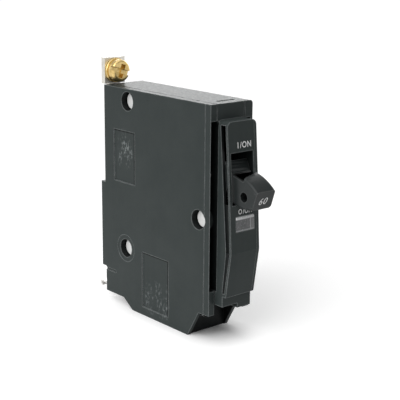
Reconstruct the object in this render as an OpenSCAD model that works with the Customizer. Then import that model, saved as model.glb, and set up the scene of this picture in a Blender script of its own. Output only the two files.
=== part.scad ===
// Single-pole bolt-on thermal-magnetic circuit breaker, handle in the OFF position.
// +X is the pole width, -Y is the front with the handle, +Z is up towards the line screw.
// The origin is the middle of the box that holds the part, at the foot. Depths below are measured
// back from the shoulder plane, the flat front of the case, and placed() moves the finished pieces
// to the origin.

/* [Case] */
// Width of one pole
case_w = 19.05; // [18.6:0.05:21]
// Height of the case without the line tab
case_h = 84.2; // [82:0.1:90]
// Depth from the shoulder plane to the upper back face
case_d = 60.2; // [59:0.1:66]
// Thickness of the case walls
wall = 1.5; // [1.2:0.1:1.8]
// Thickness of the cover at its rim
cover_t = 3; // [2.8:0.1:3.4]
// How far the back pad stands out behind the upper back face
pad_out = 2.4; // [1.5:0.1:3.5]
// Lower edge of the back pad
pad_low = 13.6; // [12:0.1:16]
// Upper edge of the back pad
pad_high = 47.2; // [44:0.1:54]
// Underside of the front strips
strip_z = 10.1; // [9:0.1:11.5]
// Depth where the slanted mouth meets the strips
mouth_d = 5.3; // [4.5:0.1:6]
// Depth of the front edge of the foot
foot_front = 11.1; // [10:0.1:12]
// Depth of the back edge of the foot
foot_back = 43.5; // [41:0.1:46]
// Depth of the back end of the heel slope
heel_d = 49.1; // [47.5:0.1:51]
// Height of the tail above the foot
heel_z = 3.7; // [2.5:0.1:4.5]
// Radius of the rounded top edge on the base side
top_edge_r = 1.3; // [0.8:0.1:1.6]
// Depth of the panels sunk into the cover's side
panel_deep = 0.35; // [0.2:0.05:0.6]
// Width of the groove beside the escutcheon
groove_w = 1.8; // [1.4:0.1:1.9]
// Depth of the groove beside the escutcheon
groove_deep = 5; // [3:0.1:5.5]

/* [Escutcheon] */
// Width of the raised front
esc_w = 13.2; // [12.8:0.1:13.6]
// Gap from its upper edge to the top of the case
esc_drop = 5.5; // [4.5:0.1:6]
// Its lower edge
esc_low = 17.8; // [17:0.1:18.6]
// How far it stands out at the upper edge
esc_out_top = 5; // [4.6:0.1:5.4]
// How far it stands out at the handle
esc_out_mid = 6.5; // [6.2:0.1:6.9]
// How far it stands out at its bend
esc_out_max = 8; // [7.7:0.1:8.3]
// How far it stands out at the lower edge
esc_out_low = 5.6; // [5:0.1:6]
// Height of the bend line
esc_bend_z = 33.8; // [31:0.1:36]
// Thickness of its front and left walls
esc_wall = 1.1; // [0.9:0.1:1.2]
// Thickness of its right wall
esc_wall_right = 1.9; // [1.6:0.1:2.1]
// How far the shelf under it stands out
shelf_out = 3.9; // [3:0.1:4.5]
// Width of the trip window
window_w = 8.4; // [7:0.1:8.6]
// Height of the trip window
window_h = 5.2; // [4:0.1:5.6]
// Height of the middle of the trip window
window_z = 43.8; // [42.5:0.1:44.5]

/* [Handle] */
// Depth of the handle pivot
pivot_d = 5; // [4.8:0.1:5.4]
// Height of the handle pivot
pivot_z = 59.35; // [58:0.05:61]
// Total throw of the handle in degrees
throw = 30; // [26:1:32]
// Reach of the lever from the pivot
lever_l = 22.7; // [21.5:0.1:25]
// Width of the lever
lever_w = 8.5; // [7.6:0.1:8.9]
// Half height of the lever's root
lever_root_h = 4.6; // [4:0.1:5]
// Height of the lever's crest above its middle line, in front of the slot
lever_crest_h = 5.6; // [5.3:0.1:5.7]
// Height of the lever's upper tip edge above its middle line
lever_tip_h = 3.6; // [3.2:0.1:4]
// Depth of the lever's underside below its middle line, in front of the slot
lever_under_h = 5.3; // [5:0.1:5.5]
// Depth of the lever's lower tip edge below its middle line
tip_under_h = 3; // [2.6:0.1:3.4]
// How far the lever's end face leans back at its lower edge
tip_lean = 0.4; // [0:0.1:0.6]
// How far the finger rest bulges between crest and tip
finger_bulge = 0.7; // [0.4:0.1:1]
// Radius of the lever's rounded long edges
lever_edge_r = 1; // [0.6:0.1:1.2]
// Radius of the tie hole
tie_r = 1.7; // [1.2:0.05:1.8]
// Outer radius of the shield that closes the slot
shield_r = 9.6; // [9:0.1:9.8]
// Thickness of the shield
shield_t = 1.3; // [1:0.1:1.6]
// Height of the handle slot
slot_h = 17.7; // [17.6:0.1:19]
// Radius of the handle pin
handle_pin_r = 1.5; // [1.2:0.05:1.7]
// Distance from the handle pivot to the blade pin
arm_r = 11; // [10.4:0.1:11.6]

/* [Contacts] */
// Length of the contact arm from its pin to the contact
blade_l = 25.4; // [24:0.1:26.5]
// Thickness of the contact arm
blade_t = 2.4; // [2:0.1:3]
// Width of the contact arm
blade_w = 4; // [3.6:0.1:4.1]
// Angle of the contact arm below level when open
blade_drop = 26; // [22:1:28]
// Radius of the contact buttons
button_r = 2.4; // [2:0.1:2.8]
// Thickness of a contact button
button_t = 1.1; // [0.8:0.1:1.4]

/* [Line terminal] */
// Width of the line tab
tab_w = 9.3; // [9.2:0.1:10]
// Height of the line tab above the case
tab_h = 9.9; // [9.6:0.1:11]
// Thickness of the line strap
strap_t = 2.1; // [1.6:0.1:2.3]
// Width of the line strap below the tab
strap_w = 5; // [4:0.1:5.4]
// Distance of the tab's middle from the middle of the pole
tab_off = 4.5; // [4:0.05:4.8]
// Radius of the line screw's thread
line_screw_r = 2.4; // [2:0.05:2.6]
// Radius of the line screw's head
line_head_r = 4.1; // [3.7:0.1:4.2]
// Height of the line screw's head
line_head_t = 3.3; // [2.8:0.1:3.6]
// Radius of the line washer
washer_r = 4.55; // [4.3:0.05:4.6]
// Thickness of the line washer
washer_t = 1.2; // [0.8:0.1:1.4]

/* [Load terminal] */
// Width of the lug
lug_w = 11.2; // [10.4:0.1:12]
// Front face of the lug
lug_front = 13; // [12.6:0.1:13.4]
// Depth of the lug, front to back
lug_d = 13; // [12:0.1:13.4]
// Height of the lug
lug_h = 11.8; // [11:0.1:12.4]
// Radius of the wire hole
wire_r = 3.7; // [3.2:0.1:4]
// Radius of the lug screw
lug_screw_r = 2.5; // [2.2:0.1:2.7]
// Length of the lug screw
lug_screw_l = 4.6; // [4.2:0.1:5]
// Thickness of the load strap
load_t = 1.5; // [1.2:0.1:1.8]

/* [Trip parts] */
// Thickness of the cradle plate
cradle_t = 1.6; // [1.2:0.1:1.8]
// Radius of the cradle pin
cradle_pin_r = 1.2; // [1:0.05:1.4]
// Height of the cradle's latch tip
latch_z = 38; // [37.6:0.1:39]
// Height of the armature pin
armature_z = 34.2; // [34:0.1:35]
// Depth of the armature pin
armature_d = 42; // [41:0.1:42.5]
// Thickness of the bimetal strip
bimetal_t = 1.2; // [0.9:0.1:1.4]
// Radius of the braid
braid_r = 0.8; // [0.6:0.05:0.9]
// Radius of the spring, to the middle of its wire
spring_r = 0.8; // [0.7:0.05:0.85]
// Radius of the spring wire
spring_wire_r = 0.22; // [0.15:0.01:0.25]
// Number of spring turns
spring_turns = 8; // [6:1:9]

/* [Rivets] */
// Radius of a rivet shank
rivet_r = 1.9; // [1.6:0.1:2.1]
// Radius of a rivet head
rivet_head_r = 3.1; // [2.8:0.1:3.3]
// Radius of the recess round a rivet head
recess_r = 3.5; // [3.4:0.1:3.6]
// Depth of that recess
recess_deep = 3.2; // [3:0.1:3.4]
// Thickness of a rivet head
rivet_head_t = 0.8; // [0.6:0.1:1]
// Outer radius of a rivet boss
boss_r = 4.2; // [4:0.1:4.4]
// Distance of the upper rivet below the top of the case
rivet_drop = 4.6; // [4.5:0.1:5.5]

/* [Hidden] */
$fn = 48;

// Clearance of a pin or screw that turns in its hole
run_gap = 0.05;
// Clearance between pieces that pass each other
pass_gap = 0.3;
// Extra length of every cut past the face it opens
over = 0.5;

// Case planes and cavity
side_x = case_w / 2;
seam_x = -side_x + cover_t;
inner_x = side_x - wall;
back_d = case_d + pad_out;
cavity_front = groove_deep + 2;
chamber_top = 14;
chamber_back = lug_front + lug_d + wall;
room_front = chamber_back + wall;
room_low = chamber_top + wall;
groove_low = 18.9;
// The groove's outer wall tapers to this rim, and its inner wall is undercut behind the side strip
groove_rim = 0.3;
undercut = 0.6;
strip_back = 0.75;
groove_high = case_h - esc_drop - pass_gap;
// Blind slot in the top, across and in depth
top_slot = [[-3.1, 5.2], [3.8, 5.2]];
top_slot_deep = 2.4;

// Escutcheon and slot
esc_x = esc_w / 2;
esc_top = case_h - esc_drop;
slot_x0 = -esc_x + esc_wall;
slot_x1 = esc_x - esc_wall_right;
slot_mid = (slot_x0 + slot_x1) / 2;
hollow_low = esc_low + 1.2;
hollow_high = esc_top - 1.3;
window_x = 0.1;
window_back = -esc_out_max + 2.05;
pane_proud = 0.25;
esc_step_x = esc_x - 1.15;
esc_step = 0.1;
// The gap in the left side starts this far behind the front plate's face
plate_edge = 0.8;
gap_deep = 0.6;
gap_w = 1.8;
gap_top_d = -1.8;
gap_open_z = pivot_z - slot_h / 2;
// Seam line down the right half of the shoulder
shoulder_x = esc_x - 0.85;
shoulder_seam = 0.25;

// Flag, held between the escutcheon's side walls below the window
flag_h = window_h + 0.6;
flag_low = window_z - window_h / 2 - flag_h - 0.4;
flag_front = window_back + 0.2;
flag_back = flag_front + 1;
guide_t = 1.2;

// Rivet places as [depth, height]; the lower one stands clear of the yoke
lower_rivet_d = armature_d + 5.5;
rivet_places = [[46, case_h - rivet_drop], [lower_rivet_d, 23.7], [5.9, 43.8]];
boss_split = seam_x + 2.5;

// Rail clip
clip_t = 0.8;
clip_w = 5;
clip_x = -inner_x + 0.6;
clip_front = heel_d + 2;
clip_reach = 5.8;
curl_r = 1.2;

// Depth of the origin: halfway from the lever's tip, when OFF, to the end of the rail clip
front_reach = lever_l * cos(throw / 2) + lever_tip_h * sin(throw / 2) - pivot_d;
origin_d = (case_d + clip_reach + curl_r - front_reach) / 2;

// Handle and contact linkage, worked out for OFF and for ON
half_throw = throw / 2;
hub_r = 4;
pin_seat = 1.3;
tie_place = [-17.3, -0.6];
blade_pin_r = 0.9;
blade_eye_r = 2;
off_pin = [pivot_d + arm_r * cos(half_throw), pivot_z + arm_r * sin(half_throw)];
on_pin = [off_pin[0], pivot_z - arm_r * sin(half_throw)];
closed_gap = 0.05;
contact_z = on_pin[1] + blade_t / 2 + button_t + closed_gap;
contact_d = on_pin[0] + blade_l;
leg_z = contact_z + button_t;
blade_x0 = slot_mid - blade_w / 2;
blade_x1 = slot_mid + blade_w / 2;
cheek_t = 1.2;
cheek_gap = 0.1;
peg_r = 0.6;
peg_along = 17.5;

// Line terminal
tab_x = -tab_off;
tab_low = case_h + 0.2;
tab_high = case_h + tab_h;
line_z = tab_low + washer_r + pass_gap;
screw_end = case_d + strap_t + 1.6;

// Cradle and its spring
cradle_x = slot_x1 - 0.7;
cradle_pivot = [15, case_h - 7.7];
cradle_strip = 1.8;
hook = [19.5, 56];
open_peg = [off_pin[0] + peg_along * cos(blade_drop), off_pin[1] - peg_along * sin(blade_drop)];
spring_x = (blade_x1 + cradle_x) / 2;
spring_gap = 0.1;
return_r = 0.5;
return_turns = 8;

// Trip unit
armature_t = 1.5;
armature_w = 8.6;
armature_pin_r = 0.9;
yoke_t = 1.2;
yoke_x = armature_w / 2 + pass_gap;
yoke_low = 24.5;
yoke_front = 26;
bimetal_z = 29.4;
bimetal_w = 6;
bimetal_front = 18;
load_z = 8;
load_back = case_d - wall - 3.2;
load_w = 6;

// Lug
lug_low = chamber_top - lug_h;
lug_screw_z = 7.5;
lug_back = lug_front + lug_d;
wire_d = lug_back - wire_r - 1.8;
pad_t = 1;
lug_screw_tip = wire_d - wire_r - 1;

// Arc chute
board_t = 0.8;
plate_t = 0.9;
plate_step = 2.4;
plate_count = 4;
chute_front = contact_d + button_r + 1.6;
chute_back = case_d - wall - 0.8;
chute_high = leg_z - 1.4;

// Outline of the case seen from the side, as [depth, height]
case_outline = [
    [0, strip_z], [0, case_h], [case_d, case_h], [case_d, pad_high], [back_d, pad_high],
    [back_d, pad_low], [case_d, pad_low], [case_d, heel_z], [heel_d, heel_z],
    [foot_back, 0], [foot_front, 0], [mouth_d, strip_z]
];
// Outline of the room for the mechanism
room_outline = [
    [cavity_front, room_low], [cavity_front, case_h - wall], [case_d - wall, case_h - wall],
    [case_d - wall, heel_z + wall], [heel_d, heel_z + wall], [foot_back, wall],
    [room_front, wall], [room_front, room_low]
];
// Outline of the raised front, and of the hollow behind it
esc_outline = [
    [over, esc_low], [-esc_out_low, esc_low], [-esc_out_max, esc_bend_z],
    [-esc_out_mid, pivot_z], [-esc_out_top, esc_top], [over, esc_top]
];
hollow_outline = [
    [cavity_front + over, hollow_low], [esc_wall - esc_out_low, hollow_low],
    [esc_wall - esc_out_max, esc_bend_z], [esc_wall - esc_out_mid, pivot_z],
    [esc_wall + 0.3 - esc_out_top, hollow_high], [cavity_front + over, hollow_high]
];

module placed() {
    translate([0, -origin_d, 0]) children();
}

// Box from its two corners
module block(x, y, z) {
    translate([x[0], y[0], z[0]]) cube([x[1] - x[0], y[1] - y[0], z[1] - z[0]]);
}

// Side-view outline drawn as [depth, height], given thickness across the pole
module across(x0, x1) {
    translate([x0, 0, 0]) rotate([90, 0, 90]) linear_extrude(x1 - x0) children();
}

module rod_x(r, x0, x1, place) {
    translate([x0, place[0], place[1]]) rotate([0, 90, 0]) cylinder(r = r, h = x1 - x0);
}

module rod_y(r, y0, y1, x, z) {
    translate([x, y0, z]) rotate([-90, 0, 0]) cylinder(r = r, h = y1 - y0);
}

// Turn about a pin that lies along the pole width
module turned(angle, place) {
    translate([0, place[0], place[1]]) rotate([angle, 0, 0]) children();
}

// Flat bar with round ends between two places, as a side-view outline
module link(from, to, r) {
    run = to - from;
    translate(from) rotate(atan2(run[1], run[0])) union() {
        translate([0, -r]) square([norm(run), 2 * r]);
        circle(r);
        translate([norm(run), 0]) circle(r);
    }
}

// Screw head recess: a wide slot crossed by a narrow one, cut towards +Y from the head's face
module drive_cross(x, z, face, deep, r, turn) {
    slot_half = r * 0.2;
    cross_half = r * 0.24;
    cross_reach = r * 0.62;
    translate([x, face, z]) rotate([0, turn, 0]) {
        block([-r - over, r + over], [-over, deep], [-slot_half, slot_half]);
        block([-cross_half, cross_half], [-over, deep * 1.3], [-cross_reach, cross_reach]);
    }
}

// Space round the lug, open below and closed in front by a wall with a hole for the lug screw, and
// the mouth under the shelf
module lug_chamber() {
    front = [lug_front - 1.5, lug_front - 0.5];
    block([-inner_x, inner_x], [mouth_d, front[0]], [-over, chamber_top]);
    block([-inner_x, inner_x], [front[1], chamber_back], [-over, chamber_top]);
    rod_y(lug_screw_r + over, front[0] - over, front[1] + over, 0, lug_screw_z);
    block([-esc_x, esc_x], [-shelf_out - over, mouth_d + over], [-over, chamber_top]);
}

// Raised front with a step along its right edge and rounded upper corners
module raised_front() {
    corner_r = 2;
    difference() {
        union() {
            across(-esc_x, esc_step_x) polygon(esc_outline);
            across(esc_step_x, esc_x) translate([esc_step, 0]) polygon(esc_outline);
        }
        for (side = [-1, 1]) difference() {
            middle = side * (esc_x - corner_r);
            outer = side * (esc_x + over);
            corner_z = esc_top - corner_r;
            block([min(middle, outer), max(middle, outer)], [-2 * esc_out_max, 2 * over],
                [corner_z, esc_top + over]);
            rod_y(corner_r, -3 * esc_out_max, 3 * over, middle, corner_z);
        }
    }
}

// Gap between the left side wall and the front plate, which opens into the hollow higher up and is
// shallow below the bend
module side_gap() {
    bend = plate_edge - esc_out_max;
    upper = [
        [bend, esc_bend_z], [plate_edge - esc_out_mid, pivot_z],
        [plate_edge - esc_out_top, hollow_high], [gap_top_d, hollow_high], [bend + gap_w, esc_bend_z]
    ];
    lower = [
        [bend, esc_bend_z], [bend + gap_w, esc_bend_z], [gap_w - esc_out_low, hollow_low],
        [plate_edge - esc_out_low, hollow_low]
    ];
    across(-esc_x - over, -esc_x + gap_deep) polygon(upper);
    across(-esc_x - over, -esc_x + gap_deep / 2) polygon(lower);
    intersection() {
        across(-esc_x - over, slot_x0 + over) polygon(upper);
        block([-side_x, 0], [-esc_out_max, over], [gap_open_z, case_h]);
    }
}

module case_base() {
    lip_drop = 1.7;
    pin_boss_r = cradle_pin_r + 1.4;
    rib_y = [yoke_front + 2, armature_d - 4];
    color([0.2, 0.21, 0.21]) difference() {
        union() {
            difference() {
                union() {
                    across(seam_x, side_x) polygon(case_outline);
                    raised_front();
                    block([-esc_x, esc_x], [-shelf_out, over], [chamber_top, esc_low + over]);
                }
                across(seam_x - over, inner_x) polygon(room_outline);
                across(slot_x0, slot_x1) polygon(hollow_outline);
                lug_chamber();
                block([esc_x, esc_x + groove_w], [-over, groove_deep], [groove_low, groove_high]);
            }
            // Right half of the shelf's underside hangs a little lower
            block([window_x + 0.4, esc_x], [-shelf_out, over], [chamber_top - lip_drop, chamber_top + over]);
            for (place = rivet_places) intersection() {
                rod_x(boss_r, boss_split, side_x, place);
                across(seam_x, side_x) polygon(case_outline);
            }
            rod_x(pin_boss_r, cradle_x + cradle_t + 0.2, inner_x + over, cradle_pivot);
            block([yoke_x + yoke_t, inner_x + over], rib_y, [yoke_low, bimetal_z]);
            // Guides that keep the flag up against the front wall
            guide_z = [flag_low - 1, window_z + window_h / 2];
            guide_back = flag_back + guide_t;
            for (x = [[slot_x0 - over, slot_x0 + 1], [slot_x1 - 1, slot_x1 + over]])
                block(x, [flag_back + run_gap, guide_back], guide_z);
            block([slot_x0 - over, slot_x1 + over], [flag_front, guide_back], [guide_z[0], flag_low]);
        }
        // Seats of the cover's bosses and the rivet holes
        for (place = rivet_places) {
            rod_x(boss_r, seam_x - over, boss_split, place);
            rod_x(rivet_r, boss_split - over, side_x + over, place);
            rod_x(recess_r, side_x - recess_deep, side_x + over, place);
        }
        // Handle slot, trip window and blind slot in the top
        block([slot_x0, slot_x1], [-esc_out_max - over, 0], [pivot_z - slot_h / 2, pivot_z + slot_h / 2]);
        window_space(over + esc_out_max, over);
        block(top_slot[0], top_slot[1], [case_h - top_slot_deep, case_h + over]);
        side_gap();
        block([-esc_x - over, -esc_x + undercut], [-strip_back, groove_deep], [groove_low, groove_high]);
        block([shoulder_x, shoulder_x + shoulder_seam], [-over, shoulder_seam], [groove_high, case_h + over]);
        // The raised front stops at the cover's front face
        block([-side_x, seam_x], [0, 2 * over], [chamber_top, esc_top + over]);
        // Pin holes and the ways through for the straps and the clip
        rod_x(handle_pin_r, seam_x - over, slot_x1 + pin_seat, [pivot_d, pivot_z]);
        rod_x(cradle_pin_r, cradle_x, inner_x + wall / 2, cradle_pivot);
        strap_way();
        block([-load_w / 2, load_w / 2], [chamber_back - over, room_front + over], [load_z, load_z + load_t]);
        clip_way();
        // Rounded top edge
        edge_x = side_x - top_edge_r;
        edge_z = case_h - top_edge_r;
        difference() {
            block([edge_x, side_x + over], [-over, case_d + over], [edge_z, case_h + over]);
            rod_y(top_edge_r, -2 * over, case_d + 2 * over, edge_x, edge_z);
        }
    }
}

// Panels sunk into the outer face of the cover, as [depths, heights], with a gutter along the front
// edge of each, and the line across the tail
side_panels = [[[41.6, 54.3], [49, 68.5]], [[22, 37.4], [3.3, 24.6]]];
gutter_w = 0.45;
gutter_deep = panel_deep + 0.5;
tail_line = [[53.7, case_d + over], [12.3, 13.2]];
// Line along the cover's side of the seam
seam_line = 0.3;
// Shallow band along the cover's front edge, and shallow ring round the lower rivet
band_w = 2.7;
band_deep = 0.15;
ring_r = boss_r + 1;

module case_cover() {
    color([0.24, 0.25, 0.25]) difference() {
        union() {
            difference() {
                across(-side_x, seam_x) polygon(case_outline);
                across(-inner_x, seam_x + over) polygon(room_outline);
                lug_chamber();
                translate([0, 0, groove_low]) linear_extrude(groove_high - groove_low) polygon([
                    [groove_rim - side_x, -over], [groove_rim - side_x, 0], [seam_x - groove_w, groove_deep],
                    [seam_x + over, groove_deep], [seam_x + over, -over]
                ]);
            }
            for (place = rivet_places) intersection() {
                rod_x(boss_r, -side_x, boss_split, place);
                across(-side_x, boss_split) polygon(case_outline);
            }
        }
        for (place = rivet_places) {
            rod_x(rivet_r, -side_x - over, boss_split + over, place);
            rod_x(recess_r, -side_x - over, -side_x + recess_deep, place);
        }
        for (p = concat(side_panels, [tail_line])) block([-side_x - over, -side_x + panel_deep], p[0], p[1]);
        for (p = side_panels)
            block([-side_x - over, -side_x + gutter_deep], [p[0][0], p[0][0] + gutter_w], p[1]);
        block([-side_x - over, -side_x + band_deep], [-over, band_w], [-over, case_h + over]);
        rod_x(ring_r, -side_x - over, -side_x + band_deep, rivet_places[1]);
        seam = [seam_x - seam_line, seam_x + over];
        block(seam, [-over, case_d + over], [case_h - seam_line, case_h + over]);
        for (z = [[strip_z - over, groove_low + over], [groove_high - over, case_h + over]])
            block(seam, [-over, seam_line], z);
        strap_way();
        clip_way();
    }
}

module rivets() {
    left = -side_x + recess_deep;
    right = side_x - recess_deep;
    color("gainsboro") for (place = rivet_places) {
        rod_x(rivet_r, left, right, place);
        rod_x(rivet_head_r, left - rivet_head_t, left, place);
        rod_x(rivet_head_r, right, right + rivet_head_t, place);
    }
}

// Depth of the front plate's face at a height above its bend
function plate_d(z) =
    -esc_out_max + (esc_out_max - esc_out_mid) * (z - esc_bend_z) / (pivot_z - esc_bend_z);

// Opening of the trip window, or the pane that fills it, between a plane that stands proud of the
// plate's face and one behind the pane
module window_space(proud, behind) {
    z = [window_z - window_h / 2, window_z + window_h / 2];
    back = window_back + behind;
    across(window_x - window_w / 2, window_x + window_w / 2) polygon([
        [plate_d(z[0]) - proud, z[0]], [plate_d(z[1]) - proud, z[1]], [back, z[1]], [back, z[0]]
    ]);
}

module trip_window() {
    color([0.75, 0.77, 0.78, 0.5]) window_space(pane_proud, 0);
}

// Drum with rounded rims whose round face runs from the lever's crest to its tip; side is 1 above
// the lever and -1 below it
module finger_drum(crest, tip, x, side) {
    chord = tip - crest;
    r = norm(chord) ^ 2 / (8 * finger_bulge) + finger_bulge / 2;
    middle = crest + chord / 2 + [-chord[1], chord[0]] / norm(chord) * (r - finger_bulge);
    w = x[1] - x[0];
    rim = lever_edge_r;
    translate([x[0], middle[0], side * middle[1]]) rotate([0, 90, 0]) rotate_extrude($fn = 96) {
        square([r - rim, w]);
        translate([0, rim]) square([r, w - 2 * rim]);
        for (h = [rim, w - rim]) translate([r - rim, h]) circle(rim);
    }
}

// Handle, drawn level and then turned down to OFF
module handle() {
    lever_x = [slot_mid - lever_w / 2, slot_mid + lever_w / 2];
    shield_x = [slot_x0 + 0.15, slot_x1 - 0.15];
    shield_angle = 36 + half_throw;
    root_l = shield_r;
    crest = [-13, lever_crest_h];
    tip = [-lever_l, lever_tip_h];
    high = 2 * lever_crest_h;
    end_slope = tip_lean / (lever_tip_h + tip_under_h);
    // Open pocket between the shield and the finger rest, with a slanted front wall, a low left wall
    // and a back that reaches in under the shield
    pocket_low = tie_place[1] + tie_r + 0.2;
    pocket_wall = 0.9;
    pocket_rim = 4.2;
    pocket_slant = 2.6 / lever_w;
    pocket_x = [lever_x[0] + pocket_wall, lever_x[1] + over];
    pocket_back = [-shield_r - 0.4, -hub_r - 1.5];
    color([0.2, 0.21, 0.21]) turned(half_throw, [pivot_d, pivot_z]) difference() {
        union() {
            rod_x(hub_r, lever_x[0], lever_x[1], [0, 0]);
            across(lever_x[0], lever_x[1]) polygon([
                [0, hub_r], [-root_l, lever_root_h], [-root_l, -lever_root_h], [0, -hub_r]
            ]);
            intersection() {
                across(lever_x[0], lever_x[1]) polygon([
                    [over - root_l, lever_root_h], crest, [crest[0], high],
                    [tip[0] - end_slope * (high - tip[1]), high],
                    [tip[0] + end_slope * (high + tip[1]), -high],
                    [crest[0], -high], [crest[0], -lever_under_h], [over - root_l, -lever_root_h]
                ]);
                finger_drum(crest, tip, lever_x, 1);
                finger_drum([crest[0], lever_under_h], [tip[0], tip_under_h], lever_x, -1);
            }
            // Shield behind the slot
            across(shield_x[0], shield_x[1]) intersection() {
                difference() {
                    circle(shield_r, $fn = 96);
                    circle(shield_r - shield_t, $fn = 96);
                }
                polygon([
                    [0, 0], 2 * shield_r * [-cos(shield_angle), sin(shield_angle)],
                    [-3 * shield_r, 0], 2 * shield_r * [-cos(shield_angle), -sin(shield_angle)]
                ]);
            }
            // Fork that carries the blade pin
            for (x = [blade_x0 - cheek_gap - cheek_t, blade_x1 + cheek_gap])
                across(x, x + cheek_t) link([0, 0], [arm_r, 0], blade_eye_r);
        }
        rod_x(handle_pin_r + run_gap, -side_x, side_x, [0, 0]);
        rod_x(blade_pin_r, -side_x, side_x, [arm_r, 0]);
        rod_x(tie_r, -side_x, side_x, tie_place);
        for (cut = [[pocket_x[0], pocket_low], [lever_x[0] - over, pocket_rim]])
            translate([0, 0, cut[1]]) linear_extrude(high) polygon([
                [cut[0], pocket_back[0]], [cut[0], crest[0] - pocket_slant * (lever_x[1] - cut[0])],
                [pocket_x[1], crest[0] + pocket_slant * over], [pocket_x[1], pocket_back[0]]
            ]);
        block(pocket_x, [pocket_back[0] - over, pocket_back[1]], [pocket_low, pocket_rim]);
    }
}

module handle_pin() {
    color("silver") rod_x(handle_pin_r, seam_x, slot_x1 + pin_seat, [pivot_d, pivot_z]);
}

module contact_arm() {
    tip = blade_l + button_r;
    color("peru") turned(-blade_drop, off_pin) difference() {
        union() {
            across(blade_x0, blade_x1) {
                circle(blade_eye_r);
                translate([0, -blade_t / 2]) square([tip, blade_t]);
            }
            rod_x(peg_r, blade_x1 - over, cradle_x - pass_gap, [peg_along, 0]);
        }
        rod_x(blade_pin_r + run_gap, -side_x, side_x, [0, 0]);
    }
}

module blade_pin() {
    reach = cheek_gap + cheek_t;
    color("silver") rod_x(blade_pin_r, blade_x0 - reach, blade_x1 + reach, off_pin);
}

module moving_contact() {
    color("lightgray") turned(-blade_drop, off_pin)
        translate([slot_mid, blade_l, blade_t / 2]) cylinder(r = button_r * 0.8, h = button_t);
}

module fixed_contact() {
    color("lightgray") translate([slot_mid, contact_d, contact_z]) cylinder(r = button_r, h = button_t);
}

// Way through the back wall for the line strap
module strap_way() {
    half = strap_w / 2;
    block([tab_x - half, tab_x + half], [case_d - wall - over, case_d + over], [leg_z, leg_z + strap_t]);
}

module line_terminal() {
    tab = [tab_x - tab_w / 2, tab_x + tab_w / 2];
    neck = [tab_x - strap_w / 2, tab_x + strap_w / 2];
    plate = [case_d, case_d + strap_t];
    front = contact_d - button_r - 0.6;
    color("silver") difference() {
        union() {
            block(tab, plate, [tab_low, tab_high]);
            block(neck, plate, [leg_z, tab_low + over]);
            block(neck, [contact_d + button_r + 1, case_d + over], [leg_z, leg_z + strap_t]);
            block([neck[0], slot_mid + button_r], [front, contact_d + button_r + 1 + over],
                [leg_z, leg_z + strap_t]);
        }
        rod_y(line_screw_r + run_gap, case_d - over, case_d + strap_t + over, tab_x, line_z);
    }
}

module line_washer() {
    color("goldenrod") difference() {
        rod_y(washer_r, case_d - washer_t, case_d, tab_x, line_z);
        rod_y(line_screw_r + run_gap, case_d - washer_t - over, case_d + over, tab_x, line_z);
    }
}

module line_screw() {
    seat = case_d - washer_t;
    face = seat - line_head_t;
    edge_r = 1.2;
    color("goldenrod") difference() {
        union() {
            translate([tab_x, face, line_z]) rotate([-90, 0, 0]) rotate_extrude() {
                square([line_head_r - edge_r, line_head_t]);
                translate([0, edge_r]) square([line_head_r, line_head_t - edge_r]);
                translate([line_head_r - edge_r, edge_r]) circle(edge_r);
            }
            rod_y(line_screw_r, seat - over, screw_end, tab_x, line_z);
        }
        drive_cross(tab_x, line_z, face, line_head_t * 0.55, line_head_r, 18);
    }
}

// Coil along +Y as one unbroken tube
module coil(r, wire_r, length, turns) {
    sides = 6;
    rings = 8 * turns + 1;
    points = [for (i = [0 : rings - 1], s = [0 : sides - 1]) let (
            t = i / (rings - 1), turn = 360 * turns * t, a = 360 * s / sides, out = [cos(turn), 0, sin(turn)])
        [0, length * t, 0] + (r + wire_r * cos(a)) * out + [0, wire_r * sin(a), 0]];
    echo(str("gap between turns ", length / turns - 2 * wire_r, " mm"));
    tube(points, sides);
}

// Closed tube through rings of points
module tube(points, sides) {
    rings = len(points) / sides;
    end = (rings - 1) * sides;
    walls = [for (i = [0 : rings - 2], s = [0 : sides - 1]) let (n = (s + 1) % sides, a = i * sides)
        each [[a + s, a + sides + s, a + n], [a + n, a + sides + s, a + sides + n]]];
    first = [for (s = [1 : sides - 2]) [0, s, s + 1]];
    last = [for (s = [1 : sides - 2]) [end, end + s + 1, end + s]];
    polyhedron(points, concat(walls, first, last));
}

module toggle_spring() {
    run = open_peg - hook;
    lead = peg_r + spring_wire_r + spring_gap;
    color("silver") translate([spring_x, 0, 0]) turned(atan2(run[1], run[0]), hook)
        translate([0, lead, 0]) coil(spring_r, spring_wire_r, norm(run) - 2 * lead, spring_turns);
}

module armature_spring() {
    seat = yoke_low + yoke_t + spring_wire_r + spring_gap;
    top = armature_z - armature_t / 2 - spring_wire_r - spring_gap;
    color("silver") translate([(bimetal_w / 2 + yoke_x) / 2, yoke_front + 3, seat]) rotate([90, 0, 0])
        coil(return_r, spring_wire_r * 0.6, top - seat, return_turns);
}

module cradle() {
    tip = [cradle_pivot[0] + 0.5, latch_z + cradle_strip];
    waist = [cradle_pivot[0] - 1.2, hook[1]];
    color("lightslategray") difference() {
        union() {
            across(cradle_x, cradle_x + cradle_t) {
                link(cradle_pivot, waist, cradle_strip);
                link(waist, tip, cradle_strip);
                link(waist, hook, 1.3);
            }
            rod_x(peg_r, blade_x1 + pass_gap, cradle_x + over, hook);
        }
        rod_x(cradle_pin_r + run_gap, 0, side_x, cradle_pivot);
    }
}

module cradle_pin() {
    color("silver") rod_x(cradle_pin_r, cradle_x - 0.4, inner_x + wall / 2, cradle_pivot);
}

module trip_flag() {
    color("firebrick") block([slot_x0 + run_gap, slot_x1 - run_gap], [flag_front, flag_back],
        [flag_low + run_gap, flag_low + flag_h]);
}

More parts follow.
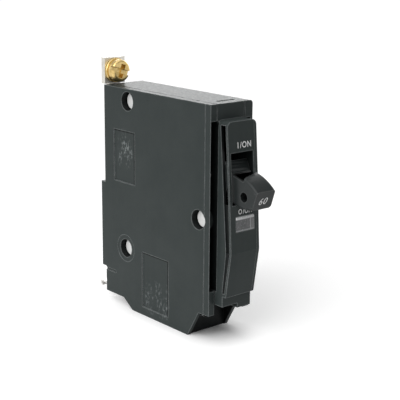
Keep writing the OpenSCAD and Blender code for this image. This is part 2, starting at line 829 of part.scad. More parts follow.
// Armature, level under the cradle's tip, with a latch step at its front end
module armature() {
    half = armature_w / 2;
    front = cradle_pivot[0] + 1;
    step_x = [cradle_x, cradle_x + cradle_t];
    low = armature_z - armature_t / 2;
    color("gray") difference() {
        union() {
            block([-half, half], [front, armature_d], [low, low + armature_t]);
            rod_x(armature_pin_r + 0.8, -half, half, [armature_d, armature_z]);
            block([half - over, step_x[1]], [front, front + 4], [low, low + armature_t]);
            block(step_x, [front, front + 1.4], [low, latch_z - pass_gap]);
        }
        rod_x(armature_pin_r + run_gap, -side_x, side_x, [armature_d, armature_z]);
    }
}

module armature_pin() {
    reach = yoke_x + yoke_t;
    color("silver") rod_x(armature_pin_r, -reach, reach, [armature_d, armature_z]);
}

// Channel round the bimetal, with two ears for the armature pin
module yoke() {
    reach = yoke_x + yoke_t;
    leg_high = armature_z - armature_t / 2 - 2;
    ear = [armature_d - 2, armature_d + 2];
    color("gray") difference() {
        union() {
            block([-reach, reach], [yoke_front, armature_d - 2], [yoke_low, yoke_low + yoke_t]);
            for (x = [[-reach, -yoke_x], [yoke_x, reach]]) {
                block(x, [yoke_front, armature_d - 2], [yoke_low, leg_high]);
                block(x, ear, [leg_high - 2.5, armature_z + 1.6]);
            }
        }
        rod_x(armature_pin_r, -side_x, side_x, [armature_d, armature_z]);
    }
}

module bimetal() {
    half = bimetal_w / 2;
    color("darkkhaki") block([-half, half], [bimetal_front, load_back], [bimetal_z, bimetal_z + bimetal_t]);
}

module calibration_screw() {
    boss = rivet_places[1];
    head_t = 1.2;
    color("silver") difference() {
        union() {
            rod_y(1, boss[0] + boss_r, load_back + over, 0, boss[1]);
            rod_y(1.9, load_back, load_back + head_t, 0, boss[1]);
        }
        block([-2, 2], [load_back + head_t / 2, load_back + head_t + over], [boss[1] - 0.25, boss[1] + 0.25]);
    }
}

module load_strap() {
    half = load_w / 2;
    boss = rivet_places[1];
    rise = [load_back - load_t, load_back];
    color("peru") difference() {
        union() {
            block([-half, half], [lug_back, load_back], [load_z, load_z + load_t]);
            block([-half, half], rise, [load_z, bimetal_z]);
        }
        rod_y(1, rise[0] - over, rise[1] + over, 0, boss[1]);
    }
}

// Flexible braid from the bimetal's free end to the contact arm, as one swept tube
braid_lane = -armature_w / 2 - 1.2;
braid_start = [blade_x0, off_pin[0] + 11 * cos(blade_drop), off_pin[1] - 11 * sin(blade_drop)];
braid_end = [-bimetal_w / 2, bimetal_front + 2, bimetal_z + bimetal_t / 2];
braid_points = [
    braid_start, braid_start + [-1.6, 0, -0.4], [braid_lane, 25, 52], [braid_lane, 23, 45],
    [braid_lane, 21, 38], [braid_lane, braid_end[1], 33], braid_end + [-1.4, 0, 0.3], braid_end
];

module braid() {
    sides = 8;
    last = len(braid_points) - 1;
    ends = [[-1, 0, 0], [1, 0, 0]];
    runs = [for (i = [1 : last - 1]) braid_points[i + 1] - braid_points[i - 1]];
    way = [for (d = concat([ends[0]], runs, [ends[1]])) d / norm(d)];
    points = [for (i = [0 : last], s = [0 : sides - 1]) let (
            u = cross(way[i], [0, 1, 0]), v = cross(way[i], u), a = 360 * s / sides)
        braid_points[i] + braid_r / norm(u) * (cos(a) * u + sin(a) * v)];
    color("chocolate") tube(points, sides);
}

module load_lug() {
    half = lug_w / 2;
    color("silver") difference() {
        block([-half, half], [lug_front, lug_back], [lug_low, chamber_top]);
        translate([0, wire_d, lug_low - over]) cylinder(r = wire_r, h = lug_h - 1.5 + over);
        rod_y(lug_screw_r + run_gap, lug_front - over, wire_d, 0, lug_screw_z);
    }
}

module lug_screw() {
    face = lug_screw_tip - lug_screw_l;
    color("silver") difference() {
        rod_y(lug_screw_r, face, lug_screw_tip, 0, lug_screw_z);
        drive_cross(0, lug_screw_z, face, 1.2, lug_screw_r, 0);
    }
}

module lug_pad() {
    color("silver") rod_y(lug_screw_r, lug_screw_tip, lug_screw_tip + pad_t, 0, lug_screw_z);
}

module arc_plates() {
    half = inner_x - board_t;
    notch = 3;
    color("dimgray") for (i = [0 : plate_count - 1]) let (z = chute_high - plate_t - i * plate_step)
        difference() {
            block([-half, half], [chute_front, chute_back], [z, z + plate_t]);
            translate([0, 0, z - over]) linear_extrude(plate_t + 2 * over) polygon([
                [slot_mid - notch, chute_front - over], [slot_mid, chute_front + notch],
                [slot_mid + notch, chute_front - over]
            ]);
        }
}

module arc_boards() {
    low = chute_high - plate_t - (plate_count - 1) * plate_step - 1;
    color("tan") for (x = [-inner_x, inner_x - board_t])
        block([x, x + board_t], [chute_front - 1, chute_back], [low, chute_high + 0.6]);
}

// Spring-steel rail clip that lies on the tail's floor and curls out of the back
module clip_outline() {
    floor_z = heel_z + wall;
    translate([clip_front, floor_z]) square([case_d + clip_reach - clip_front, clip_t]);
    translate([clip_front, floor_z]) square([clip_t, load_z - pass_gap - floor_z]);
    translate([case_d + clip_reach, floor_z + clip_t - curl_r]) intersection() {
        difference() {
            circle(curl_r);
            circle(curl_r - clip_t);
        }
        translate([0, -2 * curl_r]) square([2 * curl_r, 4 * curl_r]);
    }
}

module clip_way() {
    floor_z = heel_z + wall;
    block([clip_x, clip_x + clip_w], [case_d - wall - over, case_d + over], [floor_z, floor_z + clip_t]);
}

module rail_clip() {
    color("lightgray") across(clip_x, clip_x + clip_w) clip_outline();
}

placed() case_base();
placed() case_cover();
placed() rivets();
placed() trip_window();
placed() handle();
placed() handle_pin();
placed() contact_arm();
placed() blade_pin();
placed() moving_contact();
placed() fixed_contact();
placed() line_terminal();
placed() line_screw();
placed() line_washer();
placed() toggle_spring();
placed() cradle();
placed() cradle_pin();
placed() trip_flag();
placed() armature();
placed() armature_pin();
placed() armature_spring();
placed() yoke();
placed() bimetal();
placed() calibration_screw();
placed() braid();
placed() load_strap();
placed() load_lug();
placed() lug_screw();
placed() lug_pad();
placed() arc_plates();
placed() arc_boards();
placed() rail_clip();
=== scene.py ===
"""Looks of a single-pole bolt-on circuit breaker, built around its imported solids.

Lengths are in millimetres, apart from the lamps' and the floor's, which are in metres.
"""

import math

import bpy
from mathutils import Matrix, Vector


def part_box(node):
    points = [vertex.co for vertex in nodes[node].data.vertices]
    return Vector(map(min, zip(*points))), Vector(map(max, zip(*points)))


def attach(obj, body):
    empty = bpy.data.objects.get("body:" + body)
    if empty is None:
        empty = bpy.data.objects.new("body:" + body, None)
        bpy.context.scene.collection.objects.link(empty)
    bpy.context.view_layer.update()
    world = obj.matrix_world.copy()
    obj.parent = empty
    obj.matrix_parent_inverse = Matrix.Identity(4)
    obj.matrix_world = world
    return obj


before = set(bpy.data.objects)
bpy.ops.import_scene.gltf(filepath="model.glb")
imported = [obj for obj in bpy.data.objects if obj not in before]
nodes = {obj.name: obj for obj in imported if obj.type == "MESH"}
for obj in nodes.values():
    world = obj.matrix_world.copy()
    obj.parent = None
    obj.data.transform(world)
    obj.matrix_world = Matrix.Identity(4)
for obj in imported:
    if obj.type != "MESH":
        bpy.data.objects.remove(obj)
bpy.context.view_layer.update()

MM = 0.001

# The shoulder plane is the flat front of the case, from which depths are measured
SHOULDER_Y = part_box("case_cover")[0].y / MM
SIDE_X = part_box("case_base")[1].x / MM

# Raised front: depth behind the shoulder plane and height, at its foot, its bend, its middle and its top
FRONT_LOW = (-5.6, 17.8)
FRONT_BEND = (-8, 33.8)
FRONT_MIDDLE = (-6.5, 59.35)
FRONT_TOP = (-5, 78.7)

# Handle at rest: its pivot as depth and height, how far it is turned down, and its end face, which
# leans back by TIP_LEAN from its upper to its lower edge
PIVOT_DEPTH, PIVOT_Z = 5, 59.35
REST_DROP = 15
LEVER_REACH = 22.7
TIP_TOP, TIP_UNDER = 3.6, 3
TIP_LEAN = 0.4

# Side panels with worn print, as depths and heights
UPPER_PANEL = ((41.6, 54.3), (49, 68.5))
LOWER_PANEL = ((22, 37.4), (3.3, 24.6))

# Seam between the cover and the base, and the case's top
COVER_THICKNESS = 3
SEAM_X = COVER_THICKNESS - SIDE_X
TOP_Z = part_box("case_cover")[1].z / MM

# Rivets, as depths and heights, and the radius of their recesses with a little of the wall
RIVETS = ((46, 79.6), (47.5, 23.7), (5.9, 43.8))
RECESS_RADIUS = 3.7

# Hollows painted dark as shade: the one behind the raised front, by its distance from that front, its place
# across and its height, and the wire mouth, by its distance from the sides, its depth and its height
FRONT_HOLLOW = ((0.5, 12), (-6.4, 6.3), (19, 77.6))
MOUTH_INSET = 1.3
MOUTH_DEPTH = (0.6, 40)
MOUTH_HEIGHT = (-1, 14.3)

# Near-black colour for painted shade in corners, recesses and hollows and for the dark seam line, and how
# fully the painted shade covers the hollows
SHADE_AND_DIRT = (0.004, 0.005, 0.005)
SHADE_COVER = 0.9

# Camera: place from the pole's middle, the shoulder plane and the foot, and its angles
CAMERA_PLACE = (-230.7, -251.57, 137.6)
CAMERA_TURN = 40.77
CAMERA_DROP = 14.35
CAMERA_ROLL = 0.57
CAMERA_LENS = 92.49
CAMERA_SENSOR = 36


def placed(x, depth, z):
    """A point in metres, from its place across, its depth behind the shoulder plane and its height."""
    return Vector((x, SHOULDER_Y + depth, z)) * MM


class Finish:
    """A node material, with short calls for the nodes that the finishes share."""

    def __init__(self, name, colour, roughness, metallic=0.0):
        self.material = bpy.data.materials.new(name)
        self.material.use_nodes = True
        self.tree = self.material.node_tree
        self.shader = self.tree.nodes["Principled BSDF"]
        self.set("Base Color", (*colour, 1))
        self.set("Roughness", roughness)
        self.set("Metallic", metallic)
        self.place = self.add("ShaderNodeTexCoord").outputs["Object"]

    def add(self, kind, **settings):
        node = self.tree.nodes.new(kind)
        for key, value in settings.items():
            setattr(node, key, value)
        return node

    def set(self, socket, value):
        self.shader.inputs[socket].default_value = value

    def join(self, source, target):
        self.tree.links.new(source, target)

    def drive(self, socket, source):
        self.join(source, self.shader.inputs[socket])

    def feed(self, socket, value):
        """A socket takes another node's output, or a plain value."""
        if isinstance(value, bpy.types.NodeSocket):
            self.join(value, socket)
        else:
            socket.default_value = value

    def noise(self, size, detail=3.0, rough=0.55, stretch=(1, 1, 1)):
        """Noise whose patches are about this many millimetres across."""
        scaled = self.add("ShaderNodeVectorMath", operation="MULTIPLY")
        self.join(self.place, scaled.inputs[0])
        scaled.inputs[1].default_value = [s / (size * MM) for s in stretch]
        node = self.add("ShaderNodeTexNoise")
        node.inputs["Scale"].default_value = 1
        node.inputs["Detail"].default_value = detail
        node.inputs["Roughness"].default_value = rough
        self.join(scaled.outputs[0], node.inputs["Vector"])
        return node.outputs["Fac"]

    def span(self, source, low, high, start=0.3, end=0.7):
        """Maps a factor between two values, held at both ends."""
        node = self.add("ShaderNodeMapRange")
        self.feed(node.inputs["Value"], source)
        node.inputs["From Min"].default_value = start
        node.inputs["From Max"].default_value = end
        node.inputs["To Min"].default_value = low
        node.inputs["To Max"].default_value = high
        return node.outputs["Result"]

    def math(self, operation, a, b=0.0):
        node = self.add("ShaderNodeMath", operation=operation)
        self.feed(node.inputs[0], a)
        self.feed(node.inputs[1], b)
        return node.outputs[0]

    def product(self, *factors):
        """All factors multiplied."""
        result = factors[0]
        for factor in factors[1:]:
            result = self.math("MULTIPLY", result, factor)
        return result

    def largest(self, *factors):
        """The largest of the factors."""
        result = factors[0]
        for factor in factors[1:]:
            result = self.math("MAXIMUM", result, factor)
        return result

    def total(self, *terms):
        """All terms added."""
        result = terms[0]
        for term in terms[1:]:
            result = self.math("ADD", result, term)
        return result

    def blend(self, factor, a, b):
        """Mixes two colours, each a plain colour or another node's output."""
        node = self.add("ShaderNodeMix", data_type="RGBA")
        self.feed(node.inputs["Factor"], factor)
        for socket, value in ((node.inputs[6], a), (node.inputs[7], b)):
            self.feed(socket, value if isinstance(value, bpy.types.NodeSocket) else (*value, 1))
        return node.outputs[2]

    def bump(self, *layers):
        """Bump from pairs of a height factor and the millimetres that it stands for."""
        normal = None
        for height, depth in layers:
            node = self.add("ShaderNodeBump")
            node.inputs["Distance"].default_value = depth * MM
            self.join(height, node.inputs["Height"])
            if normal:
                self.join(normal, node.inputs["Normal"])
            normal = node.outputs["Normal"]
        self.drive("Normal", normal)

    def axes(self):
        node = self.add("ShaderNodeSeparateXYZ")
        self.join(self.place, node.inputs[0])
        return node.outputs

    def inside(self, axis, low, high, soft):
        """1 between two places along an axis, falling to 0 over a soft edge; all in millimetres."""
        return self.math("MULTIPLY", self.beyond(axis, low, soft), self.before(axis, high, soft))

    def beyond(self, axis, place, soft):
        """0 before a place along an axis and 1 after it, over a soft edge; all in millimetres."""
        return self.span(axis, 0, 1, (place - soft) * MM, (place + soft) * MM)

    def before(self, axis, place, soft):
        """1 before a place along an axis and 0 after it, over a soft edge; all in millimetres."""
        return self.span(axis, 1, 0, (place - soft) * MM, (place + soft) * MM)

    def edges(self, radius):
        """1 where the surface turns within this radius, at an edge that is lightened for wear and painted
        highlight.
        """
        bevel = self.add("ShaderNodeBevel", samples=6)
        bevel.inputs["Radius"].default_value = radius * MM
        flat = self.add("ShaderNodeNewGeometry")
        dot = self.add("ShaderNodeVectorMath", operation="DOT_PRODUCT")
        self.join(bevel.outputs[0], dot.inputs[0])
        self.join(flat.outputs["Normal"], dot.inputs[1])
        return self.span(dot.outputs["Value"], 1, 0, start=0.93, end=0.997)

    def open_sky(self, reach):
        """1 on open surfaces, falling towards 0 deep inside slots, grooves and recesses."""
        node = self.add("ShaderNodeAmbientOcclusion", samples=8)
        node.inputs["Distance"].default_value = reach * MM
        return node.outputs["AO"]


def moulded_plastic(name, dark, light, worn_and_highlit, roughness=(0.36, 0.5), gloss=0.12):
    """Satin thermoset plastic: cloudy tone, fine mould grain, faint flow streaks, painted shade in its
    hollows, and lighter edges that are partly wear and partly painted highlight.
    """
    finish = Finish(name, dark, roughness[0])
    finish.set("Specular IOR Level", gloss)
    cloud = finish.noise(14, detail=4)
    streak = finish.noise(2.2, detail=3, stretch=(1, 1, 0.06))
    grain = finish.noise(0.22, detail=2)
    tone = finish.blend(finish.span(cloud, 0, 1), dark, light)
    tone = finish.blend(finish.span(streak, 0, 0.35, start=0.45, end=0.75), tone, light)
    # Painted shade: the colour darkens towards near-black deep in slots, grooves and recesses, found by
    # ambient occlusion
    painted_shade = finish.span(finish.open_sky(reach=12), 0.97, 0, start=0.12, end=0.45)
    shade_share = 0.1
    tone = finish.blend(painted_shade, tone, [part * shade_share for part in dark])
    rubbed = finish.span(finish.noise(1.6), 0.5, 1)
    unshaded = finish.span(painted_shade, 1, 0, start=0, end=0.9)
    # Lighter edges: partly rubbed wear, partly painted highlight where rounded edges would catch the light;
    # kept off the painted shade
    wear_and_highlight = finish.product(finish.edges(radius=0.5), rubbed, unshaded)
    finish.tone = finish.blend(wear_and_highlight, tone, worn_and_highlit)
    finish.drive("Base Color", finish.tone)
    finish.drive("Roughness", finish.span(finish.noise(0.7, detail=5), *roughness))
    finish.bump((grain, 0.012), (streak, 0.01))
    return finish


def panel_scuffs(finish, panel, depth_part, height_part, colour):
    """Whitish remains of worn print on part of a side panel; the parts run from 0 to 1 across it."""
    x, y, z = finish.axes()
    (front, back), (low, high) = panel
    depths = [SHOULDER_Y + front + part * (back - front) for part in depth_part]
    heights = [low + part * (high - low) for part in height_part]
    on_side = finish.before(x, 0.5 - SIDE_X, soft=0.5)
    area = finish.product(on_side, finish.inside(y, *depths, soft=1), finish.inside(z, *heights, soft=2))
    speckle = finish.noise(0.9, detail=6, rough=0.7, stretch=(1, 1, 0.6))
    specks = finish.span(speckle, 0, 1, start=0.5, end=0.62)
    patches = finish.span(finish.noise(4, detail=2, stretch=(1, 1, 0.5)), 0, 1, start=0.42, end=0.6)
    finish.tone = finish.blend(finish.product(area, specks, patches), finish.tone, colour)


def panel_painted_shadow(finish, panel):
    """Painted shadow in the recess of a side panel, along its front and upper edges, where those edges would
    shade the recess floor.
    """
    x, y, z = finish.axes()
    (front, back), (low, high) = panel
    front += SHOULDER_Y
    back += SHOULDER_Y
    side_line, top_line, off_edge = 0.95, 0.5, 0.1
    on_side = finish.before(x, 1.15 - SIDE_X, soft=0.15)
    front_line = finish.inside(y, front + off_edge, front + off_edge + side_line, soft=0.1)
    upper_line = finish.inside(z, high - off_edge - top_line, high - off_edge, soft=0.1)
    along_front = finish.product(front_line, finish.inside(z, low, high, soft=0.3))
    along_top = finish.product(upper_line, finish.inside(y, front, back, soft=0.3))
    patchy = finish.span(finish.noise(2.5), 0.6, 1)
    painted_shadow = finish.product(finish.largest(along_front, along_top), on_side, patchy)
    # Painted shadow: near-black lines inside the panel's front and upper edges
    finish.tone = finish.blend(painted_shadow, finish.tone, SHADE_AND_DIRT)


def seam_dirt(finish):
    """Broken dark line where the cover meets the base, along the top of the case."""
    x, _, z = finish.axes()
    on_cover, on_base, below_top = 0.6, 0.3, 0.9
    on_seam = finish.inside(x, SEAM_X - on_cover, SEAM_X + on_base, soft=0.15)
    on_top = finish.beyond(z, TOP_Z - below_top, soft=0.1)
    dashes = finish.span(finish.noise(6, detail=3, stretch=(0.2, 1, 0.2)), 0, 1, start=0.42, end=0.52)
    finish.tone = finish.blend(finish.product(on_seam, on_top, dashes), finish.tone, SHADE_AND_DIRT)


def behind_front(finish):
    """Distance behind the leaning raised front, in metres, as a node's output."""
    _, y, z = finish.axes()

    def rise(start, end, from_depth, to_depth):
        return finish.span(z, from_depth * MM, to_depth * MM, start[1] * MM, end[1] * MM)

    front = finish.total(
        rise(FRONT_BEND, FRONT_MIDDLE, FRONT_BEND[0], FRONT_MIDDLE[0]),
        rise(FRONT_MIDDLE, FRONT_TOP, 0, FRONT_TOP[0] - FRONT_MIDDLE[0]),
        rise(FRONT_LOW, FRONT_BEND, FRONT_LOW[0] - FRONT_BEND[0], 0),
    )
    depth = finish.math("SUBTRACT", y, SHOULDER_Y * MM)
    return finish.math("SUBTRACT", depth, front)


def rivet_recesses(finish):
    """1 on the walls and floors of the recesses round the rivets, below the side's face."""
    x = finish.axes()[0]
    flat = finish.add("ShaderNodeVectorMath", operation="MULTIPLY")
    finish.join(finish.place, flat.inputs[0])
    flat.inputs[1].default_value = (0, 1, 1)
    near = []
    for rivet in RIVETS:
        distance = finish.add("ShaderNodeVectorMath", operation="DISTANCE")
        finish.join(flat.outputs[0], distance.inputs[0])
        distance.inputs[1].default_value = placed(0, *rivet)
        near.append(finish.before(distance.outputs["Value"], RECESS_RADIUS, soft=0.1))
    below_side = finish.beyond(x, 0.325 - SIDE_X, soft=0.175)
    return finish.product(finish.largest(*near), below_side)


def dark_hollows(finish):
    """Painted shade on the insides: behind the raised front, in the wire mouth and in the rivets' recesses.
    """
    x, y, z = finish.axes()
    behind, across, height = FRONT_HOLLOW
    front = finish.product(
        finish.inside(behind_front(finish), *behind, soft=0.1),
        finish.inside(x, *across, soft=0.1),
        finish.inside(z, *height, soft=0.2),
    )
    mouth = finish.product(
        finish.inside(y, *(SHOULDER_Y + depth for depth in MOUTH_DEPTH), soft=0.2),
        finish.inside(x, MOUTH_INSET - SIDE_X, SIDE_X - MOUTH_INSET, soft=0.1),
        finish.inside(z, *MOUTH_HEIGHT, soft=0.1),
    )
    dark = finish.largest(front, mouth, rivet_recesses(finish))
    # Painted shade: these hollows are coloured near-black where they would lie in shade
    finish.tone = finish.blend(finish.math("MULTIPLY", dark, SHADE_COVER), finish.tone, SHADE_AND_DIRT)


def case_plastic():
    """Charcoal plastic of both halves of the case, with its wear and painted edge highlights, worn print,
    dark seam line, and painted shade in its panel recesses and hollows.
    """
    finish = moulded_plastic("case_charcoal", dark=(0.030, 0.038, 0.037), light=(0.039, 0.047, 0.046),
                             worn_and_highlit=(0.2, 0.215, 0.215))
    panel_scuffs(finish, UPPER_PANEL, (0.15, 0.8), (0.35, 0.95), (0.34, 0.37, 0.37))
    panel_scuffs(finish, LOWER_PANEL, (0, 0.9), (0, 0.5), (0.27, 0.29, 0.295))
    for panel in (UPPER_PANEL, LOWER_PANEL):
        panel_painted_shadow(finish, panel)
    seam_dirt(finish)
    dark_hollows(finish)
    finish.drive("Base Color", finish.tone)
    return finish


def plain_metal(name, dark, light, roughness, grain_size=0.35, stretch=(1, 1, 1), metallic=1.0):
    """Metal with patches of tone, and fine scratches or rolling marks along one direction."""
    finish = Finish(name, dark, roughness[0], metallic)
    tone = finish.span(finish.noise(1.7, detail=5, rough=0.65), 0, 1)
    finish.drive("Base Color", finish.blend(tone, dark, light))
    scratch = finish.noise(grain_size, detail=4, rough=0.7, stretch=stretch)
    finish.drive("Roughness", finish.span(scratch, *roughness))
    finish.bump((scratch, 0.006))
    return finish


def white_print():
    """Slightly patchy white ink."""
    finish = Finish("white_print", (0.8, 0.8, 0.8), 0.5)
    patchy = finish.span(finish.noise(0.25, detail=4), 0, 1, 0.2, 0.45)
    finish.drive("Base Color", finish.blend(patchy, (0.6, 0.6, 0.6), (0.88, 0.88, 0.88)))
    finish.bump((finish.noise(0.1), 0.003))
    return finish


def clear_pane():
    """Moulded clear lens, hazy in its middle, with painted highlights along its upper and lower edges, along
    a line near its right end and over that end, where its edges would catch the light.
    """
    end_band = 1.9
    finish = Finish("clear_pane", (0.5, 0.52, 0.53), 0.12)
    finish.set("IOR", 1.49)
    low, high = (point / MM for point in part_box("trip_window"))
    x, _, z = finish.axes()
    haze = finish.span(finish.noise(0.9, detail=5, stretch=(1, 1, 0.3)), 0, 1)
    tone = finish.blend(haze, (0.10, 0.105, 0.11), (0.18, 0.185, 0.19))
    # Painted highlights: lighter bands at the right end, along a line before it, and along the lower and
    # upper edges
    right_end = finish.beyond(x, high.x - end_band, soft=0.1)
    tone = finish.blend(right_end, tone, (0.25, 0.255, 0.26))
    end_line = finish.inside(x, high.x - end_band - 0.25, high.x - end_band + 0.05, soft=0.1)
    tone = finish.blend(end_line, tone, (0.5, 0.51, 0.52))
    lower_edge = finish.before(z, low.z + 0.55, soft=0.15)
    tone = finish.blend(lower_edge, tone, (0.4, 0.41, 0.42))
    upper_edge = finish.beyond(z, high.z - 0.95, soft=0.15)
    finish.drive("Base Color", finish.blend(upper_edge, tone, (0.93, 0.94, 0.95)))
    finish.set("Transmission Weight", 0.3)
    finish.drive("Roughness", finish.span(finish.noise(0.4), 0.12, 0.3))
    return finish


def make_finishes():
    """The finish of each node by name, and of the nodes that share one."""
    charcoal = case_plastic()
    return {
        "case_base": charcoal,
        "case_cover": charcoal,
        "handle": moulded_plastic("lever_charcoal", (0.015, 0.019, 0.019), (0.021, 0.025, 0.025),
                                  (0.08, 0.085, 0.085), (0.3, 0.42), 0.22),
        "trip_window": clear_pane(),
        "trip_flag": moulded_plastic("flag_red", (0.42, 0.02, 0.015), (0.55, 0.035, 0.025),
                                     (0.65, 0.12, 0.1)),
        "rivets": plain_metal("rivet_steel", (0.88, 0.89, 0.88), (0.97, 0.97, 0.96), (0.3, 0.45),
                              metallic=0.05),
        "line_screw": plain_metal("brass", (0.56, 0.39, 0.13), (0.84, 0.64, 0.30), (0.24, 0.42)),
        "line_terminal": plain_metal("tinned_copper", (0.60, 0.57, 0.51), (0.80, 0.78, 0.73), (0.3, 0.5)),
        "rail_clip": plain_metal("spring_steel", (0.62, 0.61, 0.59), (0.78, 0.77, 0.75), (0.2, 0.35)),
        "load_lug": plain_metal("lug_aluminium", (0.66, 0.67, 0.68), (0.78, 0.79, 0.8), (0.3, 0.5)),
        "yoke": plain_metal("dark_steel", (0.24, 0.24, 0.25), (0.36, 0.36, 0.37), (0.35, 0.55)),
        "fixed_contact": plain_metal("contact_silver", (0.78, 0.77, 0.74), (0.9, 0.89, 0.87), (0.25, 0.4)),
        "bimetal": plain_metal("bimetal", (0.5, 0.46, 0.36), (0.62, 0.58, 0.47), (0.3, 0.45),
                               grain_size=0.3, stretch=(0.1, 1, 1)),
        "arc_boards": moulded_plastic("fibre_board", (0.38, 0.26, 0.15), (0.46, 0.33, 0.2), (0.55, 0.42, 0.3),
                                      (0.7, 0.85)),
        "steel": plain_metal("bright_steel", (0.52, 0.52, 0.51), (0.66, 0.66, 0.65), (0.26, 0.42)),
        "copper": plain_metal("copper", (0.62, 0.30, 0.17), (0.78, 0.42, 0.26), (0.28, 0.45)),
    }


SHARED_FINISH = {
    "line_washer": "line_screw",
    "armature": "yoke",
    "arc_plates": "yoke",
    "moving_contact": "fixed_contact",
    "contact_arm": "copper",
    "load_strap": "copper",
    "braid": "copper",
}

# Widths of the rounded edges; a node that is not named has the plain width
PLAIN_EDGE = 0.12
EDGE_WIDTHS = {"case_base": 0.22, "case_cover": 0.22, "handle": 0.25, "line_washer": 0.25,
               "line_terminal": 0.2, "trip_window": 0.4}
UNROUNDED = ("toggle_spring", "armature_spring", "braid")


def round_edges(node, width):
    """Rounded edges as modifiers, so that the solid's own mesh stays as it is."""
    weld_gap = 0.002
    flat_angle, sharp_angle = math.radians(0.5), math.radians(35)
    weld = node.modifiers.new("weld", "WELD")
    weld.merge_threshold = weld_gap * MM
    flatten = node.modifiers.new("flatten", "DECIMATE")
    flatten.decimate_type = "DISSOLVE"
    flatten.angle_limit = flat_angle
    bevel = node.modifiers.new("rounded_edges", "BEVEL")
    bevel.width = width * MM
    bevel.segments = 2
    bevel.limit_method = "ANGLE"
    bevel.angle_limit = sharp_angle
    bevel.use_clamp_overlap = True
    bevel.harden_normals = True
    node.modifiers.new("shading", "WEIGHTED_NORMAL").keep_sharp = True


def dress_nodes(finishes):
    """Gives each solid its finish and, apart from the wound ones, its rounded edges."""
    for name, node in nodes.items():
        finish = finishes[SHARED_FINISH.get(name, name if name in finishes else "steel")]
        node.data.materials.clear()
        node.data.materials.append(finish.material)
        if name not in UNROUNDED:
            round_edges(node, EDGE_WIDTHS.get(name, PLAIN_EDGE))


def word_mesh(name, words, size, bold, lean, first_gap):
    """Flat words as a thin mesh, stretched to a width and height in millimetres round their middle."""
    curve = bpy.data.curves.new(name, "FONT")
    curve.body = words
    curve.offset = bold
    curve.space_character = 1.15
    curve.body_format[0].kerning = first_gap
    curve.extrude = 0.01
    curve.shear = lean
    text = bpy.data.objects.new(name, curve)
    bpy.context.scene.collection.objects.link(text)
    bpy.context.view_layer.update()
    mesh = bpy.data.meshes.new_from_object(text.evaluated_get(bpy.context.evaluated_depsgraph_get()))
    bpy.data.objects.remove(text)
    bpy.data.curves.remove(curve)
    mesh.name = name
    places = [vertex.co for vertex in mesh.vertices]
    for axis, length in enumerate(size):
        low = min(place[axis] for place in places)
        high = max(place[axis] for place in places)
        for place in places:
            place[axis] = (place[axis] - (low + high) / 2) * length * MM / (high - low)
    return mesh


def lettering(name, words, size, middle, slope, body, finish, bold=0.015, lean=0.0, first_gap=0):
    """Printed words on a surface that faces the front and leans back by slope degrees."""
    print_height = 0.04
    mesh = word_mesh(name, words, (*size, print_height), bold, lean, first_gap)
    mesh.materials.clear()
    mesh.materials.append(finish.material)
    piece = bpy.data.objects.new(name, mesh)
    bpy.context.scene.collection.objects.link(piece)
    turn = Matrix.Rotation(math.radians(90 - slope), 4, "X")
    piece.matrix_world = Matrix.Translation(placed(*middle)) @ turn
    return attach(piece, body)


def front_plane(z):
    """Depth and backward lean of the raised front at a height above its bend."""
    (d0, z0), (d1, z1) = (FRONT_MIDDLE, FRONT_TOP) if z > FRONT_MIDDLE[1] else (FRONT_BEND, FRONT_MIDDLE)
    rise = (d1 - d0) / (z1 - z0)
    return d0 + rise * (z - z0), math.degrees(math.atan(rise))


def make_lettering():
    """Switch marks on the raised front and a plain number on the handle's end."""
    ink = white_print()
    marks = (
        ("mark_on", "I/ON", (6.1, 2.1), 0.7, 70.65, 25),
        ("mark_off", "O/OFF", (6.6, 1.8), 0.5, 48.1, 6),
    )
    for name, words, size, x, z, first_gap in marks:
        depth, lean_back = front_plane(z)
        lettering(name, words, size, (x, depth, z), lean_back, "case", ink, first_gap=first_gap)
    drop = math.radians(REST_DROP)
    lean = TIP_LEAN / (TIP_TOP + TIP_UNDER)
    up = -0.12
    along = LEVER_REACH - lean * (TIP_TOP - up)
    depth = PIVOT_DEPTH - along * math.cos(drop) - up * math.sin(drop)
    height = PIVOT_Z - along * math.sin(drop) + up * math.cos(drop)
    lean_back = -REST_DROP - math.degrees(math.atan(lean))
    middle = (-0.6, depth, height)
    lettering("mark_number", "60", (3.7, 2.4), middle, lean_back, "handle", ink, bold=0, lean=0.25)


def make_camera():
    """Camera at the photograph's viewing angle."""
    data = bpy.data.cameras.new("camera")
    data.lens = CAMERA_LENS
    data.sensor_width = CAMERA_SENSOR
    data.clip_start = 0.01
    camera = bpy.data.objects.new("camera", data)
    turn = Matrix.Rotation(math.radians(-CAMERA_TURN), 4, "Z")
    drop = Matrix.Rotation(math.radians(90 - CAMERA_DROP), 4, "X")
    roll = Matrix.Rotation(math.radians(CAMERA_ROLL), 4, "Z")
    camera.matrix_world = Matrix.Translation(placed(*CAMERA_PLACE)) @ turn @ drop @ roll
    bpy.context.scene.collection.objects.link(camera)
    bpy.context.scene.camera = camera


def seen_straight(tree):
    """1 for camera, mirror and see-through rays, which show the background itself."""
    path = tree.nodes.new("ShaderNodeLightPath")
    total = path.outputs["Is Camera Ray"]
    for name in ("Is Glossy Ray", "Is Transmission Ray"):
        either = tree.nodes.new("ShaderNodeMath")
        either.operation = "MAXIMUM"
        tree.links.new(total, either.inputs[0])
        tree.links.new(path.outputs[name], either.inputs[1])
        total = either.outputs[0]
    return total


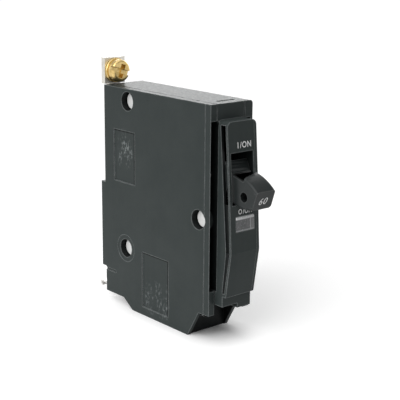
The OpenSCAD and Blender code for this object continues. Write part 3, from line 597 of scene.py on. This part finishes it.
def make_world(fill, ceiling):
    """White backdrop that turns to a grey ceiling high up; fill is the light that it sheds."""
    ceiling_start, ceiling_end = 0.4, 0.75
    world = bpy.data.worlds.new("studio")
    bpy.context.scene.world = world
    world.use_nodes = True
    tree = world.node_tree
    backdrop = tree.nodes["Background"]
    backdrop.inputs["Color"].default_value = (1, 1, 1, 1)
    split = tree.nodes.new("ShaderNodeSeparateXYZ")
    tree.links.new(tree.nodes.new("ShaderNodeTexCoord").outputs["Generated"], split.inputs[0])
    height = tree.nodes.new("ShaderNodeMapRange")
    height.inputs["From Min"].default_value = ceiling_start
    height.inputs["From Max"].default_value = ceiling_end
    height.inputs["To Min"].default_value = 1
    height.inputs["To Max"].default_value = ceiling
    tree.links.new(split.outputs["Z"], height.inputs["Value"])
    strength = tree.nodes.new("ShaderNodeMapRange")
    strength.inputs["To Min"].default_value = fill
    tree.links.new(height.outputs["Result"], strength.inputs["To Max"])
    tree.links.new(seen_straight(tree), strength.inputs["Value"])
    tree.links.new(strength.outputs["Result"], backdrop.inputs["Strength"])


def make_floor(size, glow):
    """White paper: plainly lit round the object, where it keeps the shadow, and even white further off; its
    added glow is left out under the object, which paints shade there.
    """
    white = (0.86, 0.86, 0.86)
    fade_start, fade_end = 0.13, 0.32
    mesh = bpy.data.meshes.new("floor")
    half = size / 2
    corners = [(-half, -half, 0), (half, -half, 0), (half, half, 0), (-half, half, 0)]
    mesh.from_pydata(corners, [], [(0, 1, 2, 3)])
    floor = bpy.data.objects.new("floor", mesh)
    bpy.context.scene.collection.objects.link(floor)
    paper = Finish("white_paper", white, 0.9)
    paper.set("Specular IOR Level", 0.1)
    paper.bump((paper.noise(1.5), 0.02))
    distance = paper.add("ShaderNodeVectorMath", operation="LENGTH")
    paper.join(paper.place, distance.inputs[0])
    far = paper.span(distance.outputs["Value"], 0, 1, fade_start, fade_end)
    paper.drive("Base Color", paper.blend(far, white, (0, 0, 0)))
    x, y, _ = paper.axes()
    # Painted shade: no added glow under the object, so the floor there stays dark
    shade_under_object = paper.product(paper.inside(x, -SIDE_X, SIDE_X, soft=5),
                          paper.inside(y, SHOULDER_Y, -SHOULDER_Y, soft=8))
    near_glow = paper.span(shade_under_object, glow, 0, start=0, end=1)
    lift = paper.add("ShaderNodeMapRange")
    paper.join(far, lift.inputs["Value"])
    paper.join(near_glow, lift.inputs["To Min"])
    paper.set("Emission Color", (1, 1, 1, 1))
    shown = paper.product(seen_straight(paper.tree), lift.outputs["Result"])
    paper.drive("Emission Strength", shown)
    mesh.materials.append(paper.material)


def make_lamp(name, place, aim, size, power):
    """Soft rectangular lamp that the camera doesn't see; metres and watts."""
    data = bpy.data.lights.new(name, "AREA")
    data.shape = "RECTANGLE"
    data.size, data.size_y = size
    data.energy = power
    lamp = bpy.data.objects.new(name, data)
    lamp.location = place
    lamp.rotation_euler = (Vector(aim) - Vector(place)).to_track_quat("-Z", "Y").to_euler()
    lamp.visible_camera = False
    bpy.context.scene.collection.objects.link(lamp)
    return lamp


bpy.context.scene.view_settings.view_transform = "Standard"
make_camera()
make_world(fill=0.22, ceiling=0.3)
make_floor(size=4, glow=0.4)
make_lamp("overhead", (0, 0.1, 0.9), (0, 0, 0.05), (0.9, 0.9), 3)
make_lamp("left_side", (-0.8, -0.15, 0.7), (0, 0, 0.05), (1, 1), 9.5)
make_lamp("back_sheen", (0.57, 0.66, 0.25), (0, 0, 0.08), (1.2, 0.5), 5.4).visible_diffuse = False
dress_nodes(make_finishes())
make_lettering()

bpy.context.view_layer.update()
